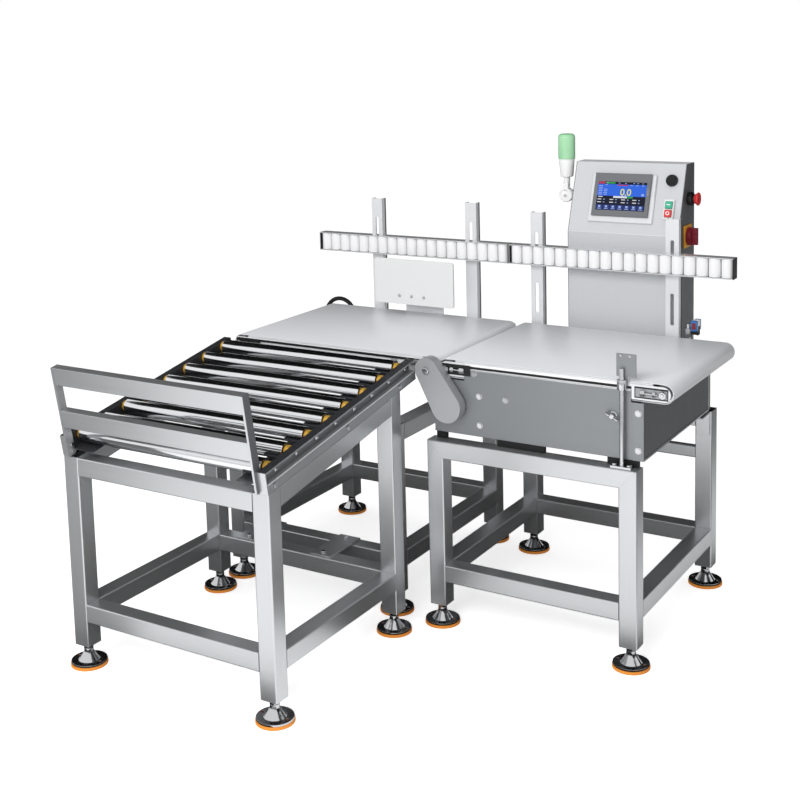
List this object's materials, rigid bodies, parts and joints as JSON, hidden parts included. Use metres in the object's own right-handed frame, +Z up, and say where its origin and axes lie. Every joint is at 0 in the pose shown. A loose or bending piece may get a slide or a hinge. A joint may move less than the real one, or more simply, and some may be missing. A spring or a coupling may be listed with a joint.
{
  "type": "checkweigher",
  "caption": "Carton checkweigher on tube stands: weigh belt over a load cell, reject belt with side pusher, sloped roller table with stop fence, guide rails and a control cabinet.",
  "frame": {"origin": "middle of the machine outline, on the floor", "axes": "+X along the belts from the reject side to the weigh side, +Y from the roller table to the control cabinet, +Z up"},
  "size_m": [1.4435, 1.493, 1.349],
  "materials": {
    "stainless_sheet": "satin",
    "bright_steel": "polished",
    "chrome_roller": "polished",
    "dark_channel": "satin",
    "gold_bearing": "satin",
    "orange_rubber": "matte",
    "black_plastic": "satin",
    "black_rubber": "matte",
    "white_belt": "matte",
    "aluminium": "satin",
    "motor_paint": "satin",
    "white_plastic": "satin",
    "green_plastic": "gloss",
    "red_plastic": "gloss",
    "yellow_plastic": "satin",
    "dark_red_plastic": "satin",
    "green_lens": "gloss",
    "blue_plastic": "satin"
  },
  "bodies": {
    "frame": {"roller_stand": "stainless_sheet", "reject_stand": "stainless_sheet", "weigh_stand": "stainless_sheet", "foot_pads": "orange_rubber", "foot_bases": "bright_steel", "leg_plugs": "black_plastic", "flat_brackets": "stainless_sheet", "hex_bolts": "bright_steel", "roller_channels": "dark_channel", "stop_fence": "stainless_sheet", "roller_bearings": "gold_bearing", "reject_bed": "aluminium", "reject_belt": "white_belt", "timing_belt": "black_rubber", "gear_motor": "motor_paint", "belt_guard": "aluminium", "base_box": "stainless_sheet", "rubber_mounts": "black_rubber", "load_cell": "bright_steel", "weigh_bed": "aluminium", "weigh_belt": "white_belt", "guide_posts": "aluminium", "pusher_cylinder": "aluminium", "cabinet": "stainless_sheet", "touch_screen": "black_plastic", "buzzer": "black_plastic", "button_plate": "white_plastic", "estop_base": "black_plastic", "switch_plate": "yellow_plastic", "lamp_mount": "white_plastic", "eye_rods": "bright_steel"},
    "roller_1": {"roller_1": "chrome_roller"},
    "roller_2": {"roller_2": "chrome_roller"},
    "roller_3": {"roller_3": "chrome_roller"},
    "roller_4": {"roller_4": "chrome_roller"},
    "roller_5": {"roller_5": "chrome_roller"},
    "roller_6": {"roller_6": "chrome_roller"},
    "roller_7": {"roller_7": "chrome_roller"},
    "roller_8": {"roller_8": "chrome_roller"},
    "reject_idler": {"reject_idler": "chrome_roller"},
    "reject_drive": {"reject_drive_roller": "chrome_roller"},
    "motor_pulley": {"motor_pulley": "bright_steel"},
    "drum_motor": {"drum_motor": "chrome_roller"},
    "weigh_idler": {"weigh_idler": "chrome_roller"},
    "pusher": {"pusher_rods": "bright_steel", "pusher_plate": "white_plastic"},
    "left_rail": {"left_rail": "aluminium", "left_rail_rollers": "white_plastic"},
    "right_rail": {"right_rail": "aluminium", "right_rail_rollers": "white_plastic"},
    "door": {"cabinet_door": "stainless_sheet"},
    "start_button": {"start_button": "green_plastic"},
    "stop_button": {"stop_button": "red_plastic"},
    "estop_stem": {"estop_stem": "black_plastic"},
    "estop_head": {"estop_head": "red_plastic"},
    "switch_knob": {"switch_knob": "dark_red_plastic"},
    "lamp": {"lamp_body": "white_plastic", "lamp_lens": "green_lens"},
    "reflector": {"reflector": "bright_steel"},
    "photo_sensor": {"photo_sensor": "blue_plastic"}
  },
  "joints": [
    {"name": "roller_1_spin", "type": "hinge", "parent": "frame", "child": "roller_1", "pos_m": [-0.35875, -0.65132, 0.64179], "axis": [1, 0, 0], "continuous": true},
    {"name": "roller_2_spin", "type": "hinge", "parent": "frame", "child": "roller_2", "pos_m": [-0.35875, -0.56354, 0.65648], "axis": [1, 0, 0], "continuous": true},
    {"name": "roller_3_spin", "type": "hinge", "parent": "frame", "child": "roller_3", "pos_m": [-0.35875, -0.47576, 0.67117], "axis": [1, 0, 0], "continuous": true},
    {"name": "roller_4_spin", "type": "hinge", "parent": "frame", "child": "roller_4", "pos_m": [-0.35875, -0.38798, 0.68585], "axis": [1, 0, 0], "continuous": true},
    {"name": "roller_5_spin", "type": "hinge", "parent": "frame", "child": "roller_5", "pos_m": [-0.35875, -0.3002, 0.70054], "axis": [1, 0, 0], "continuous": true},
    {"name": "roller_6_spin", "type": "hinge", "parent": "frame", "child": "roller_6", "pos_m": [-0.35875, -0.21242, 0.71523], "axis": [1, 0, 0], "continuous": true},
    {"name": "roller_7_spin", "type": "hinge", "parent": "frame", "child": "roller_7", "pos_m": [-0.35875, -0.12464, 0.72992], "axis": [1, 0, 0], "continuous": true},
    {"name": "roller_8_spin", "type": "hinge", "parent": "frame", "child": "roller_8", "pos_m": [-0.35875, -0.03686, 0.74461], "axis": [1, 0, 0], "continuous": true},
    {"name": "reject_idler_spin", "type": "hinge", "parent": "frame", "child": "reject_idler", "pos_m": [-0.64925, 0.28597, 0.745], "axis": [0, 1, 0], "continuous": true},
    {"name": "reject_drive_spin", "type": "hinge", "parent": "frame", "child": "reject_drive", "pos_m": [0.01475, 0.28597, 0.753], "axis": [0, 1, 0], "continuous": true},
    {"name": "motor_pulley_spin", "type": "hinge", "parent": "frame", "child": "motor_pulley", "pos_m": [0.08625, 0.02297, 0.644], "axis": [0, 1, 0], "continuous": true},
    {"name": "drum_motor_spin", "type": "hinge", "parent": "frame", "child": "drum_motor", "pos_m": [0.69575, 0.28597, 0.745], "axis": [0, 1, 0], "continuous": true},
    {"name": "weigh_idler_spin", "type": "hinge", "parent": "frame", "child": "weigh_idler", "pos_m": [0.06975, 0.28597, 0.745], "axis": [0, 1, 0], "continuous": true},
    {"name": "pusher_stroke", "type": "slide", "parent": "frame", "child": "pusher", "axis": [0, -1, 0], "range_m": [0, 0.1]},
    {"name": "left_rail_height", "type": "slide", "parent": "frame", "child": "left_rail", "axis": [0, 0, 1], "range_m": [-0.02, 0.055]},
    {"name": "right_rail_height", "type": "slide", "parent": "frame", "child": "right_rail", "axis": [0, 0, 1], "range_m": [-0.02, 0.055]},
    {"name": "door_hinge", "type": "hinge", "parent": "frame", "child": "door", "pos_m": [0.19025, 0.74247, 0.9125], "axis": [0, 0, 1], "range_deg": [0, 110]},
    {"name": "start_press", "type": "slide", "parent": "frame", "child": "start_button", "axis": [0, 0.9402, -0.3406], "range_m": [0, 0.003], "stiffness_N_per_m": 800},
    {"name": "stop_press", "type": "slide", "parent": "frame", "child": "stop_button", "axis": [0, 0.9402, -0.3406], "range_m": [0, 0.003], "stiffness_N_per_m": 800},
    {"name": "estop_press", "type": "slide", "parent": "frame", "child": "estop_stem", "axis": [-1, 0, 0], "range_m": [0, 0.004]},
    {"name": "estop_twist", "type": "hinge", "parent": "estop_stem", "child": "estop_head", "pos_m": [0.56225, 0.68597, 1.161], "axis": [1, 0, 0], "range_deg": [0, 40], "stiffness_Nm_per_rad": 0.1},
    {"name": "switch_turn", "type": "hinge", "parent": "frame", "child": "switch_knob", "pos_m": [0.54825, 0.66997, 1.051], "axis": [1, 0, 0], "range_deg": [-90, 0]},
    {"name": "lamp_tilt", "type": "hinge", "parent": "frame", "child": "lamp", "pos_m": [0.14825, 0.68297, 1.158], "axis": [0, 1, 0], "range_deg": [-90, 0]},
    {"name": "reflector_height", "type": "slide", "parent": "frame", "child": "reflector", "axis": [0, 0, 1], "range_m": [-0.05, 0.02]},
    {"name": "sensor_height", "type": "slide", "parent": "frame", "child": "photo_sensor", "axis": [0, 0, 1], "range_m": [-0.02, 0.008]}
  ],
  "couplings": [
    {"joint": "reject_drive_spin", "follows": "reject_idler_spin", "ratio": 1.5},
    {"joint": "motor_pulley_spin", "follows": "reject_idler_spin", "ratio": 0.77778},
    {"joint": "weigh_idler_spin", "follows": "drum_motor_spin", "ratio": 1}
  ]
}
